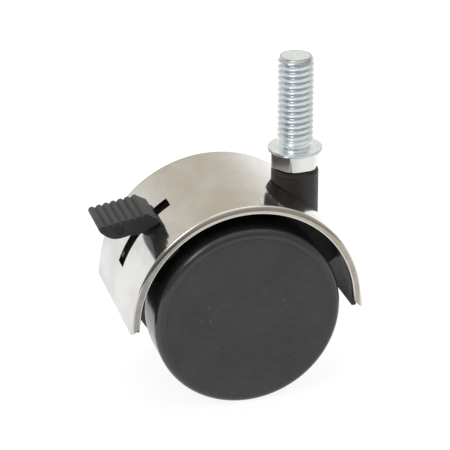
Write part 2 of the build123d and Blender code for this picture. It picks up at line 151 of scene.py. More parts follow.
def lathe_y(name, profile, segments=256):
    """A closed ring about the axle from a closed profile of (y, radius)."""
    points = [about_axle(y, r, 360 * k / segments) for k in range(segments) for y, r in profile]
    return make_object(name, points, row_faces(segments, len(profile), joined=True))


def prism_y(name, outline, half_width, edge, sharp_angle=35):
    """A plate across Y from a closed outline of (x, z) about the axle, its two rims rounded by edge."""
    flat = np.array(outline)
    before, after = flat - np.roll(flat, 1, 0), np.roll(flat, -1, 0) - flat
    before /= np.linalg.norm(before, axis=1)[:, None]
    after /= np.linalg.norm(after, axis=1)[:, None]
    normal = np.stack([-(before + after)[:, 1], (before + after)[:, 0]], 1)
    normal /= np.linalg.norm(normal, axis=1)[:, None]
    area = np.sum(flat[:, 0] * np.roll(flat[:, 1], -1) - np.roll(flat[:, 0], -1) * flat[:, 1])
    normal *= 1 if area > 0 else -1
    levels = [(half_width - edge * (1 - math.cos(t)), edge * (1 - math.sin(t)))
              for t in np.linspace(0, math.pi / 2, 6)]
    rows = [(-y, inset) for y, inset in levels] + [(y, inset) for y, inset in reversed(levels)]
    points = [(AXLE_X + x, y, AXLE_Z + z) for y, inset in rows for x, z in flat + normal * inset]
    faces = row_faces(len(rows), len(flat)) + end_faces(len(rows), len(flat))
    return make_object(name, points, faces, sharp_angle)


def box_between(name, low, high, turn=0.0):
    """A box from low to high, turned about the axle by an angle from straight up."""
    corners = [(x, y, z) for x in (low[0], high[0]) for y in (low[1], high[1]) for z in (low[2], high[2])]
    a = math.radians(turn)
    points = [(AXLE_X + x * math.cos(a) + z * math.sin(a), y, AXLE_Z - x * math.sin(a) + z * math.cos(a))
              for x, y, z in corners]
    faces = [(0, 1, 3, 2), (4, 6, 7, 5), (0, 4, 5, 1), (2, 3, 7, 6), (0, 2, 6, 4), (1, 5, 7, 3)]
    return make_object(name, points, faces)


def combine(obj, other, operation):
    """Adds another object or cuts its shape away; the other object is then removed."""
    modifier = obj.modifiers.new("combine", "BOOLEAN")
    modifier.operation = operation
    modifier.solver = "EXACT"
    modifier.object = other
    depsgraph = bpy.context.evaluated_depsgraph_get()
    result = bpy.data.meshes.new_from_object(obj.evaluated_get(depsgraph))
    obj.modifiers.clear()
    obj.data = result
    bpy.data.objects.remove(other)
    clean(obj)


# ---- Threaded stem ------------------------------------------------------------------------------
def thread_height(turn_share):
    """How high the thread stands at a share of one pitch, from 0 at the root to 1 at the crest."""
    away = abs((turn_share % 1.0) - 0.5) * PITCH
    crest = PITCH / 16
    height = 1 - (away - crest) * math.tan(math.radians(60)) / THREAD_DEPTH
    rounded_crest = 1 - 0.06 * (0.4 + 0.6 * min(away / crest, 1.0)) ** 2
    from_root = min(1.0, (PITCH / 2 - away) / (PITCH / 8))
    rounded_root = 0.12 * (1 - math.cos(from_root * math.pi / 2))
    return max(min(height, rounded_crest), rounded_root)


def stem_radius(share, z):
    """Radius of the threaded part at a height: full thread, run-out into the neck, and end chamfer."""
    run_out, chamfer_slope = 1.3, 0.62
    threaded = ROOT_RADIUS + THREAD_DEPTH * thread_height(share)
    full = min(1.0, max(0.0, (z - NECK_LENGTH) / run_out))
    full = full * full * (3 - 2 * full)
    radius = NECK_RADIUS + (threaded - NECK_RADIUS) * full
    return min(radius, TIP_RADIUS + (STEM_LENGTH - z) * chamfer_slope)


def hexagon_radius(angle):
    """Distance of the hexagon's side at an angle from a flat's middle, with its corners rounded."""
    away = abs((angle + 30) % 60 - 30)
    flat, corner_round = HEX_ACROSS_FLATS / 2, 0.35
    centre = (flat - corner_round) / math.cos(math.radians(30))
    tangent = math.degrees(math.atan2(centre * math.sin(math.radians(30)), flat))
    if away <= tangent:
        return flat / math.cos(math.radians(away))
    off = math.radians(30 - away)
    return centre * math.cos(off) + math.sqrt(corner_round ** 2 - (centre * math.sin(off)) ** 2)


def stem_rows(from_flat):
    """Spigot, hexagon, flange and the neck's fillet: in each row a (radius, z) for every angle."""
    hex_bottom = -FLANGE_THICKNESS - HEX_HEIGHT
    corner = HEX_ACROSS_FLATS / 2 / math.cos(math.radians(30))
    fillet, flange_round, spigot_middle = 0.25, 0.22, -12.0
    below = [(0.6, SPIGOT_END), (SPIGOT_RADIUS - 0.5, SPIGOT_END), (SPIGOT_RADIUS - 0.25, SPIGOT_END + 0.08),
             (SPIGOT_RADIUS, SPIGOT_END + 0.5), (SPIGOT_RADIUS, GROOVE_BOTTOM),
             (GROOVE_RADIUS, GROOVE_BOTTOM), (GROOVE_RADIUS, GROOVE_TOP), (SPIGOT_RADIUS, GROOVE_TOP),
             (SPIGOT_RADIUS, spigot_middle), (SPIGOT_RADIUS, hex_bottom)]
    above = arc((FLANGE_RADIUS - flange_round, flange_round - FLANGE_THICKNESS), flange_round, -90, 0, 4)
    above += arc((FLANGE_RADIUS - flange_round, -flange_round), flange_round, 0, 90, 4)
    above.append((NECK_RADIUS + fillet, 0.0))
    above += arc((NECK_RADIUS + fillet, fillet), fillet, -90, -180, 3)
    hexagon = []
    for inset, rise in ((0.25, 0.0), (0.07, 0.04), (0.0, 0.14), (0.0, 0.2), (0.0, 0.28), (0.0, 0.4),
                        (0.0, HEX_HEIGHT)):
        cone = corner - HEX_CORNER_CUT + rise / math.tan(math.radians(30))
        hexagon.append([(min(hexagon_radius(a), cone) - inset, hex_bottom + rise) for a in from_flat])
    around = len(from_flat)
    return [[place] * around for place in below] + hexagon + [[place] * around for place in above]


def build_stem():
    """Spigot, hexagon, flange, neck and a true helical thread as one closed surface."""
    half_side = [3.5, 7, 11, 15, 19, 22.5, 25, 26.5, 27.5, 28.2, 28.8, 29.4]
    side = [-30] + [-a for a in reversed(half_side)] + [0] + half_side
    from_flat = [60 * k + a for k in range(6) for a in side]
    angles = [a + 30 + HEX_TURN for a in from_flat]
    columns = len(angles)
    rows = stem_rows(from_flat)
    points = [about_swivel(radius, angle, z) for row in rows for (radius, z), angle in zip(row, angles)]
    faces = row_faces(len(rows), columns) + [tuple(range(columns))]

    # the thread: rows climb one pitch per turn, and are held between the neck's fillet and the stem's end,
    # so the last point of a row is next to the first point of the row one turn later
    steps = 20
    turn_on = steps * columns
    total = (int(STEM_LENGTH / PITCH) + 3) * steps
    start = len(points)
    for k in range(total):
        for angle in angles:
            turned = (angle - angles[0]) / 360
            z = min(max(PITCH * (k / steps - 1 + turned), 0.25), STEM_LENGTH)
            points.append(about_swivel(stem_radius(z / PITCH - turned, z), angle, z))
    last = columns - 1
    for k in range(total - 1):
        row, above = start + k * columns, start + (k + 1) * columns
        faces += [(row + i, row + i + 1, above + i + 1, above + i) for i in range(last)]
        if k + steps + 1 < total:
            faces.append((row + last, row + turn_on, above + turn_on, above + last))
    top = start + (total - 1) * columns
    faces.append(tuple(range(top, top + columns)))
    stem = make_object("stem_turned", points, faces, 50)
    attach(stem, "stem")
    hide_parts("threaded_stem")
    return stem


# ---- Hood ---------------------------------------------------------------------------------------
def on_circle(centre, radius, angle):
    """A point of the hood's section: y and radius, at an angle from straight out."""
    a = math.radians(angle)
    return centre + Vector((math.sin(a), math.cos(a))) * radius


BEND_CENTRE = Vector((HOOD_HALF_WIDTH - BEND_INSET, HOOD_RADIUS - HOOD_BEND))
LIP_CENTRE = on_circle(on_circle(BEND_CENTRE, HOOD_BEND, BEND_TURN), -LIP_CURL, BEND_TURN)
LIP_END = on_circle(LIP_CENTRE, LIP_CURL - SHEET / 2, LIP_TURN)


def hood_profile(corner_cut=0.0):
    """Closed section of the hood as (y, radius): sheet, bent rims and lips with rounded ends."""
    last = max(LIP_TURN - math.degrees(corner_cut / LIP_CURL), BEND_TURN + 1)
    tip = on_circle(LIP_CENTRE, LIP_CURL - SHEET / 2, last)
    half = [on_circle(BEND_CENTRE, HOOD_BEND, t) for t in np.linspace(0, BEND_TURN, 8)[:-1]]
    half += [on_circle(LIP_CENTRE, LIP_CURL, t) for t in np.linspace(BEND_TURN, last, 9)[:-1]]
    half += [on_circle(tip, SHEET / 2, t) for t in np.linspace(last, last + 180, 9)]
    half += [on_circle(LIP_CENTRE, LIP_CURL - SHEET, t) for t in np.linspace(last, BEND_TURN, 5)[1:]]
    half.append(Vector((BEND_CENTRE.x - 0.1, HOOD_RADIUS - SHEET)))
    across = [(y, HOOD_RADIUS) for y in np.linspace(-BEND_CENTRE.x, BEND_CENTRE.x, 12)[1:-1]]
    return across + [tuple(p) for p in half] + [(-p.x, p.y) for p in reversed(half)]


def hood_point(y, radius, station):
    """A point of the hood's sheet: stations up to 1 are on the arc, from 1 to 2 on the straight end."""
    arc_end = math.radians(HOOD_ARC_ANGLE)
    side = math.copysign(1, station)
    turn = min(abs(station), 1.0) * arc_end
    below = HOOD_BELOW_AXLE + side * radius * math.tan(math.radians(HOOD_END_TILT))
    run = max(0.0, abs(station) - 1) * (radius * math.cos(arc_end) + below) / math.sin(arc_end)
    x = radius * math.sin(turn) + run * math.cos(turn)
    z = radius * math.cos(turn) - run * math.sin(turn)
    return (AXLE_X + side * x, y, AXLE_Z + z)


def hood_normal(point, face_normal):
    """The exact surface normal at a point of the hood, where the face belongs to a rounded surface."""
    x, y, z = point.x / MM - AXLE_X, point.y / MM, point.z / MM - AXLE_Z
    angle = math.atan2(x, z)
    held = math.copysign(min(abs(angle), math.radians(HOOD_ARC_ANGLE)), angle)
    outward = Vector((math.sin(held), 0, math.cos(held)))
    radius = x * outward.x + z * outward.z
    side = Vector((0, math.copysign(1, y), 0))
    place = Vector((abs(y), radius))
    exact = outward
    if place.x > BEND_CENTRE.x + 1e-3:
        for centre, size in ((BEND_CENTRE, HOOD_BEND), (LIP_CENTRE, LIP_CURL), (LIP_CENTRE, LIP_CURL - SHEET),
                             (LIP_END, SHEET / 2)):
            away = place - centre
            if abs(away.length - size) < 0.01:
                exact = outward * away.y + side * away.x
                break
        else:
            return face_normal
    exact.normalize()
    for candidate in (exact, -exact):
        if candidate.dot(face_normal) > 0.93:
            return candidate
    return face_normal


def build_hood():
    """Arc of thin sheet with straight ends, its slot and hole, shaded with exact normals."""
    cut_steps = 6
    straight = (HOOD_RADIUS * math.cos(math.radians(HOOD_ARC_ANGLE)) + HOOD_BELOW_AXLE)
    cut_share = HOOD_CORNER_CUT / straight
    end = [1 + k * (1 - cut_share) / 4 for k in range(1, 4)]
    end += [2 - cut_share * (1 - k / cut_steps) for k in range(cut_steps + 1)]
    stations = [-k for k in reversed(end)] + list(np.linspace(-1, 1, 165)) + end
    count = len(hood_profile())
    points = []
    for station in stations:
        corner_cut = HOOD_CORNER_CUT * max(0.0, 1 - (2 - abs(station)) / cut_share)
        points += [hood_point(y, r, station) for y, r in hood_profile(corner_cut)]
    faces = row_faces(len(stations), count) + end_faces(len(stations), count)
    hood = make_object("hood_sheet", points, faces)

    along_slot = np.linspace(SLOT_FROM, SLOT_TO, 9)
    inside, outside = 26, 36
    edge = [(inside, t) for t in along_slot] + [(outside, t) for t in along_slot[::-1]]
    slot_sides = [[about_axle(y, r, t) for r, t in edge] for y in (-SLOT_HALF_WIDTH, SLOT_HALF_WIDTH)]
    combine(hood, loft("slot_cutter", *slot_sides), "DIFFERENCE")

    above, below = 2, -24
    hole_ends = [[about_swivel(HOOD_HOLE_RADIUS, 360 * k / 96, z) for k in range(96)] for z in (below, above)]
    combine(hood, loft("hole_cutter", *hole_ends), "DIFFERENCE")

    mesh = hood.data
    normals = [None] * len(mesh.loops)
    for face in mesh.polygons:
        for loop in face.loop_indices:
            point = mesh.vertices[mesh.loops[loop].vertex_index].co
            normals[loop] = hood_normal(point, face.normal)
    mesh.normals_split_custom_set(normals)
    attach(hood, "housing")
    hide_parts("hood_cover")
    return hood


# ---- Wheels -------------------------------------------------------------------------------------
def wheel_profile():
    """Section of the rim, disc and hub as (y, radius), for the left wheel."""
    recess = WHEEL_OUTER_Y - COVER_THICKNESS - 0.05
    seat = COVER_RADIUS + 0.03
    profile = arc((WHEEL_INNER_Y + 0.5, WHEEL_RADIUS - 0.5), 0.5, 180, 90, 5)
    profile += [(y, WHEEL_RADIUS) for y in (10.5, 13.0, 15.5)]
    profile += arc((WHEEL_OUTER_Y - WHEEL_EDGE, WHEEL_RADIUS - WHEEL_EDGE), WHEEL_EDGE, 90, 0, 14)
    profile += [(WHEEL_OUTER_Y - 0.1, seat), (recess, seat), (recess, RIM_INNER), (DISC_TO_Y, RIM_INNER),
                (DISC_TO_Y, WHEEL_HUB_RADIUS), (WHEEL_HUB_END_Y, WHEEL_HUB_RADIUS),
                (WHEEL_HUB_END_Y, WHEEL_BUSH_RADIUS), (WHEEL_INNER_Y, WHEEL_BUSH_RADIUS)]
    profile += [(WHEEL_INNER_Y, WHEEL_HUB_RADIUS - 0.3), (WHEEL_INNER_Y + 0.3, WHEEL_HUB_RADIUS),
                (DISC_FROM_Y + 0.4, WHEEL_HUB_RADIUS), (DISC_FROM_Y, WHEEL_HUB_RADIUS + 0.5),
                (DISC_FROM_Y, RIM_INNER - 0.5), (DISC_FROM_Y - 0.4, RIM_INNER),
                (WHEEL_INNER_Y + 0.3, RIM_INNER), (WHEEL_INNER_Y, RIM_INNER + 0.3)]
    return profile


def add_rib(rim, low_y, high_y, angle):
    """Adds a radial rib with rounded edges to the rim's mesh, between hub and rim."""
    half_width, sunk = 0.7, 0.3
    rib = box_between("rib", (-half_width, low_y, WHEEL_HUB_RADIUS - sunk),
                      (half_width, high_y, RIM_INNER + sunk), angle)
    bevel = rib.modifiers.new("bevel", "BEVEL")
    bevel.width, bevel.segments = 0.25 * MM, 3
    depsgraph = bpy.context.evaluated_depsgraph_get()
    ribbed = bmesh.new()
    ribbed.from_mesh(rim.data)
    ribbed.from_mesh(bpy.data.meshes.new_from_object(rib.evaluated_get(depsgraph)))
    ribbed.to_mesh(rim.data)
    ribbed.free()
    bpy.data.objects.remove(rib)


def build_wheel(side, sign):
    """Rim with ribs on its inner face, and the cover disc with its snap skirt."""
    rim = lathe_y(f"{side}_wheel_tread", [(sign * y, r) for y, r in wheel_profile()])
    rib_count, rib_sides = 8, sorted((sign * 8.6, sign * 11.9))
    for k in range(rib_count):
        add_rib(rim, *rib_sides, 360 / rib_count * k)
    rim.data.shade_smooth()
    rim.data.set_sharp_from_angle(angle=math.radians(35))
    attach(rim, f"{side}_wheel")
    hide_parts(f"{side}_wheel_rim")

    inside = WHEEL_OUTER_Y - COVER_THICKNESS
    skirt_end = inside - SKIRT_LENGTH
    middle, edge = 0.02, 0.12
    profile = [(WHEEL_OUTER_Y, r) for r in (middle, 3, 6, 9, 12, 15, 18, 20)]
    profile += arc((WHEEL_OUTER_Y - edge, COVER_RADIUS - edge), edge, 0, 90, 4)
    profile += [(inside, COVER_RADIUS), (inside, SKIRT_OUTER), (skirt_end + 0.1, SKIRT_OUTER),
                (skirt_end, SKIRT_OUTER - 0.1), (skirt_end, SKIRT_INNER), (inside, SKIRT_INNER),
                (inside, middle)]
    cover = lathe_y(f"{side}_wheel_face", [(sign * y, r) for y, r in profile])
    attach(cover, f"{side}_wheel")
    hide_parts(f"{side}_wheel_cover")
    return rim, cover


# ---- Brake lever --------------------------------------------------------------------------------
def pedal_outline():
    """Side view of the pedal about the axle as (x, z): seven rounded ribs on top, rounded nose."""
    toe, heel = np.array((-35.5, 24.3)), np.array((-22.9, 26.45))
    slope = (heel - toe) / np.linalg.norm(heel - toe)
    across = np.array((-slope[1], slope[0]))
    tilt = math.degrees(math.atan2(slope[1], slope[0]))
    swing, toe_swing, heel_swing = 62, 85, 55
    points = []
    for k in range(RIB_COUNT):
        centre = toe + slope * (0.45 + k * RIB_PITCH) + across * (RIB_HEIGHT - RIB_RADIUS)
        first = 90 + (swing if k else toe_swing)
        last = 90 - (swing if k < RIB_COUNT - 1 else heel_swing)
        points += arc(centre, RIB_RADIUS, first + tilt, last + tilt, 10)
    points += [(-22.6, 26.3), (-21.6, 25.72), (-20.7, 25.2)]
    points += arc((-20.75, 24.75), 0.45, 60, -25, 4)
    points += [(-20.12, 24.2)] + arc((-20.75, 24.1), 0.55, -20, -60, 3)
    points += [(-22.0, 22.9), (-23.4, 22.1)]
    points += [(-24.6, 21.5), (-25.4, 21.33), (-26.6, 21.31), (-28.2, 21.25), (-29.3, 21.0), (-30.4, 20.8),
               (-31.5, 20.76), (-32.6, 20.97), (-33.6, 21.45), (-34.4, 22.02), (-35.1, 22.6), (-35.6, 23.1)]
    return points


def build_lever():
    """Ribbed pedal, the arm through the slot with its window, and the hub."""
    pedal = prism_y("brake_pedal", pedal_outline(), PEDAL_HALF_WIDTH, PEDAL_EDGE, sharp_angle=50)
    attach(pedal, "brake_lever")
    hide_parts("brake_lever")

    # the mark pressed into the pedal's side: (radius, depth) from its edge to its middle
    mark_x, mark_z = -30.6, 23.0
    radii = ((1.25, 0.05), (1.15, -0.25), (0.9, -0.28), (0.78, 0.03), (0.62, 0.03), (0.5, -0.12),
             (0.0, -0.12))
    ring = arc((0, 0), 1, 0, 360, 32)[:-1]
    points = [(AXLE_X + mark_x + r * c, depth - PEDAL_HALF_WIDTH, AXLE_Z + mark_z + r * s)
              for r, depth in radii for c, s in ring]
    button = make_object("pedal_gate_mark", points, row_faces(len(radii), len(ring)))
    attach(button, "brake_lever")

    around = np.radians(np.linspace(0, 360, 65)[:-1])
    circle = [(LEVER_HUB_RADIUS * math.sin(a), LEVER_HUB_RADIUS * math.cos(a)) for a in around]
    hub = prism_y("lever_arm", circle, LEVER_HUB_HALF_WIDTH, 0.2)
    arm = box_between("arm_bar", (-ARM_HALF_WIDTH, -ARM_HALF_THICKNESS, ARM_FROM),
                      (ARM_HALF_WIDTH, ARM_HALF_THICKNESS, ARM_TO), ARM_ANGLE)
    combine(hub, arm, "UNION")
    through = 4
    window = box_between("arm_window", (-WINDOW_HALF_WIDTH, -through, WINDOW_FROM),
                         (WINDOW_HALF_WIDTH, through, WINDOW_TO), ARM_ANGLE)
    combine(hub, window, "DIFFERENCE")
    through, middle = 3, 0.01
    bore = lathe_y("arm_bore", [(-through, middle), (-through, LEVER_BORE_RADIUS),
                                (through, LEVER_BORE_RADIUS), (through, middle)], 96)
    combine(hub, bore, "DIFFERENCE")
    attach(hub, "brake_lever")
    return pedal, button, hub


# ---- Materials ----------------------------------------------------------------------------------
class Paint:
    """A material with one Principled shader, and short calls for the nodes that feed it."""

    def __init__(self, name, metallic=0.0, **constants):
        self.material = bpy.data.materials.new(name)
        self.material.use_nodes = True
        self.nodes = self.material.node_tree.nodes
        self.links = self.material.node_tree.links
        self.nodes.clear()
        output = self.nodes.new("ShaderNodeOutputMaterial")
        self.shader = self.nodes.new("ShaderNodeBsdfPrincipled")
        self.links.new(self.shader.outputs[0], output.inputs[0])
        self.shader.inputs["Metallic"].default_value = metallic
        for socket, value in constants.items():
            self.shader.inputs[socket.replace("_", " ")].default_value = value
        self.place = self.nodes.new("ShaderNodeTexCoord").outputs["Object"]

    def axes(self):
        """The point's X, Y and Z, in metres."""
        node = self.nodes.new("ShaderNodeSeparateXYZ")
        self.links.new(self.place, node.inputs[0])
        return node.outputs

    def set(self, socket, value):
        """Links the value to the socket, or sets it there if it is a constant."""
        if isinstance(value, bpy.types.NodeSocket):
            self.links.new(value, socket)
        else:
            socket.default_value = value

    def math(self, operation, a, b=0.0):
        """One operation on one or two values."""
        node = self.nodes.new("ShaderNodeMath")
        node.operation = operation
        self.set(node.inputs[0], a)
        self.set(node.inputs[1], b)
        return node.outputs[0]

    def mapped(self, stretch, turn=(0, 0, 0)):
        """The point's place, scaled along each axis and turned in degrees, to stretch a noise."""
        node = self.nodes.new("ShaderNodeMapping")
        node.inputs["Scale"].default_value = stretch
        node.inputs["Rotation"].default_value = [math.radians(t) for t in turn]
        self.links.new(self.place, node.inputs["Vector"])
        return node.outputs[0]

    def noise(self, size, detail=4.0, rough=0.5, coords=None, distortion=0.0):
        """Noise from 0 to 1 whose features are about size millimetres across."""
        node = self.nodes.new("ShaderNodeTexNoise")
        node.inputs["Scale"].default_value = 1000.0 / size
        node.inputs["Detail"].default_value = detail
        node.inputs["Roughness"].default_value = rough
        node.inputs["Distortion"].default_value = distortion
        self.links.new(coords or self.place, node.inputs["Vector"])
        return node.outputs[0]

    def specks(self, spacing, radius):
        """1 on scattered small specks, 0 elsewhere."""
        node = self.nodes.new("ShaderNodeTexVoronoi")
        node.inputs["Scale"].default_value = 1000.0 / spacing
        node.inputs["Randomness"].default_value = 1.0
        self.links.new(self.place, node.inputs["Vector"])
        near = self.ramp(node.outputs["Distance"], radius / spacing, radius / spacing * 0.4, 0.0, 1.0)
        chosen = self.nodes.new("ShaderNodeSeparateColor")
        self.links.new(node.outputs["Color"], chosen.inputs[0])
        return self.math("MULTIPLY", near, self.math("GREATER_THAN", chosen.outputs[0], 0.62))

    def ramp(self, value, low, high, to_low=0.0, to_high=1.0):
        """Goes smoothly from to_low to to_high while the value goes from low to high."""
        node = self.nodes.new("ShaderNodeMapRange")
        node.interpolation_type = "SMOOTHSTEP"
        for socket, v in zip(("From Min", "From Max", "To Min", "To Max"), (low, high, to_low, to_high)):
            node.inputs[socket].default_value = v
        self.set(node.inputs["Value"], value)
        return node.outputs["Result"]

    def mix(self, factor, a, b):
        """Goes from colour a to colour b while the factor goes from 0 to 1."""
        node = self.nodes.new("ShaderNodeMix")
        node.data_type = "RGBA"
        self.set(node.inputs["Factor"], factor)
        colour_a, colour_b, result = node.inputs[6], node.inputs[7], node.outputs[2]
        for socket, colour in ((colour_a, a), (colour_b, b)):
            self.set(socket, colour if isinstance(colour, bpy.types.NodeSocket) else (*colour, 1.0))
        return result

    def edges(self, radius, strength):
        """1 along the piece's own edges, where handling wears them, 0 elsewhere."""
        bevel = self.nodes.new("ShaderNodeBevel")
        bevel.samples = 4
        bevel.inputs["Radius"].default_value = radius * MM
        plain = self.nodes.new("ShaderNodeNewGeometry")
        dot = self.nodes.new("ShaderNodeVectorMath")
        dot.operation = "DOT_PRODUCT"
        self.links.new(bevel.outputs[0], dot.inputs[0])
        self.links.new(plain.outputs["Normal"], dot.inputs[1])
        return self.ramp(dot.outputs["Value"], 0.995, 0.85, 0.0, strength)

    def bump(self, height, depth, normal=None):
        """Normal of a surface that rises by depth millimetres where height is 1."""
        node = self.nodes.new("ShaderNodeBump")
        node.inputs["Strength"].default_value = 1.0
        node.inputs["Distance"].default_value = depth * MM
        self.links.new(height, node.inputs["Height"])
        if normal:
            self.links.new(normal, node.inputs["Normal"])
        return node.outputs[0]

    def finish(self, colour, roughness, normal):
        """Feeds the shader and returns the material."""
        self.links.new(colour, self.shader.inputs["Base Color"])
        self.links.new(roughness, self.shader.inputs["Roughness"])
        self.links.new(normal, self.shader.inputs["Normal"])
        return self.material


def plastic(name, dark, light, roughness, grain, grain_depth, specks=0.0, painted_sheen_beyond=None,
            painted_shade_beyond=None, **constants):
    """Moulded plastic: faint mottling, fine grain, paler edges that are rubbed and carry a painted highlight,
    and dust specks if asked for.

    Further out from the middle than the distance for the shaded sides it is darker, a painted shade, and than
    the distance for the sheen it is greyer, a painted sheen.
    """
    p = Paint(name, **constants)
    cloud = p.noise(9, 5, 0.6)
    colour = p.mix(p.ramp(cloud, 0.3, 0.7), dark, light)
    # paler edges: rubbed wear, and a painted highlight along them
    colour = p.mix(p.math("MULTIPLY", p.edges(0.25, 0.5), p.noise(1.3, 3)), colour, (0.12, 0.12, 0.12))
    scuffs = p.ramp(p.noise(3.5, 6, 0.7, p.mapped((1, 1, 0.12), (0, 28, 10))), 0.62, 0.78, 0.0, 0.35)
    colour = p.mix(scuffs, colour, tuple(1.5 * c + 0.01 for c in light))
    fine = p.ramp(p.noise(0.55, 4, 0.7, p.mapped((0.35, 1, 1))), 0.35, 0.75, 0.0, 0.4)
    colour = p.mix(fine, colour, tuple(1.6 * c for c in light))
    beyond = p.math("ABSOLUTE", p.axes()["Y"])
    # painted shade: further out than the given distance, on the sides, the plastic is darker
    if painted_shade_beyond:
        side_painted_shade = p.ramp(beyond, (painted_shade_beyond - 0.2) * MM, painted_shade_beyond * MM)
        colour = p.mix(side_painted_shade, colour, tuple(0.62 * c for c in dark))
    # painted sheen: a greyer band on the rounded shoulder, beyond the given distance from the middle
    if painted_sheen_beyond:
        shoulder_painted_sheen = p.math("MULTIPLY", p.ramp(beyond, painted_sheen_beyond * MM, (painted_sheen_beyond + 1) * MM),
                          p.ramp(beyond, (WHEEL_OUTER_Y - 0.03) * MM, (WHEEL_OUTER_Y - 0.35) * MM, 0.25, 1.0))
        shoulder_painted_sheen = p.math("MULTIPLY", shoulder_painted_sheen, p.ramp(p.noise(2.5, 5, 0.7), 0.25, 0.7, 0.6, 1.0))
        colour = p.mix(shoulder_painted_sheen, colour, (0.046, 0.046, 0.046))
    if specks:
        dust = p.math("MULTIPLY", p.specks(2.2, 0.12), specks)
        colour = p.mix(dust, colour, (0.62, 0.60, 0.56))
        lint = p.math("MULTIPLY", p.ramp(p.noise(0.5, 2), 0.74, 0.8), 0.25 * specks)
        colour = p.mix(lint, colour, (0.35, 0.34, 0.32))
    rough = p.ramp(p.noise(2.2, 5, 0.6), 0.2, 0.8, roughness - 0.07, roughness + 0.08)
    normal = p.bump(p.noise(grain, 3, 0.6), grain_depth)
    normal = p.bump(p.noise(6, 2), 0.015, normal)
    return p.finish(colour, rough, normal)


def nickel():
    """Polished nickel on thin sheet: cloudy tint, rims with a painted reflection and painted highlights, a
    painted cool reflection at one end, a painted reflection line at the left bend, fine polishing lines,
    slight waves.
    """
    p = Paint("polished_nickel", 1.0)
    x, y, z = p.axes()
    cloud = p.noise(11, 4, 0.55, p.mapped((1, 0.55, 1), (0, 0, 25)), 0.6)
    tint = p.mix(p.ramp(cloud, 0.32, 0.68), (0.675, 0.65, 0.595), (0.755, 0.745, 0.72))
    patches = p.ramp(p.noise(5, 6, 0.65, distortion=1.2), 0.5, 0.72, 0.0, 0.35)
    tint = p.mix(patches, tint, (0.635, 0.60, 0.53))
    # painted reflection: the hood's end towards -X, beyond x = -34 mm, takes a cooler tint
    painted_cool_tint = p.mix(p.ramp(cloud, 0.35, 0.62), (0.59, 0.583, 0.572), (0.70, 0.695, 0.685))
    tint = p.mix(p.ramp(x, -34 * MM, -44 * MM), tint, painted_cool_tint)

    # the rims: a painted reflection, darker towards the hood's two ends, and painted highlights, paler along
    # the lip's inner and outer edge
    on_rim = p.ramp(p.math("ABSOLUTE", y), (HOOD_HALF_WIDTH - 0.15) * MM, (HOOD_HALF_WIDTH + 0.1) * MM)
    rim_tint_mask = p.math("MULTIPLY", on_rim, p.ramp(p.noise(3, 5, 0.6), 0.2, 0.8, 0.75, 1.0))
    out = p.math("SUBTRACT", x, AXLE_X * MM)
    up = p.math("SUBTRACT", z, AXLE_Z * MM)
    radius = p.math("SQRT", p.math("ADD", p.math("MULTIPLY", out, out), p.math("MULTIPLY", up, up)))
    painted_rim_tint = p.mix(p.ramp(x, -42 * MM, -28 * MM), (0.22, 0.215, 0.195), (0.50, 0.475, 0.42))
    painted_rim_tint = p.mix(p.ramp(x, -10 * MM, 6 * MM), painted_rim_tint, (0.33, 0.30, 0.245))
    inner_edge, outer_edge = LIP_END.y - 0.1, LIP_END.y + 1.5
    painted_rim_tint = p.mix(p.ramp(radius, (inner_edge + 0.15) * MM, inner_edge * MM), painted_rim_tint, (0.7, 0.67, 0.61))
    painted_rim_tint = p.mix(p.ramp(radius, (outer_edge - 0.35) * MM, outer_edge * MM), painted_rim_tint, (0.66, 0.63, 0.565))
    tint = p.mix(rim_tint_mask, tint, painted_rim_tint)

    # the bend's painted reflection: a thin grey line beside the left rim, where the bend starts
    painted_bend_line = p.math("MULTIPLY", p.ramp(y, 18.0 * MM, 18.15 * MM), p.ramp(y, 18.5 * MM, 18.3 * MM))
    tint = p.mix(p.math("MULTIPLY", painted_bend_line, 0.8), tint, (0.42, 0.42, 0.41))

    lines = p.noise(0.22, 3, 0.5, p.mapped((1, 0.02, 1)))
    rough = p.ramp(p.noise(7, 5, 0.6), 0.25, 0.75, 0.07, 0.14)
    rough = p.math("ADD", rough, p.ramp(lines, 0.5, 0.75, 0.0, 0.07))
    normal = p.bump(p.noise(9, 2, 0.4), 0.05)
    normal = p.bump(lines, 0.0012, normal)
    return p.finish(tint, rough, normal)


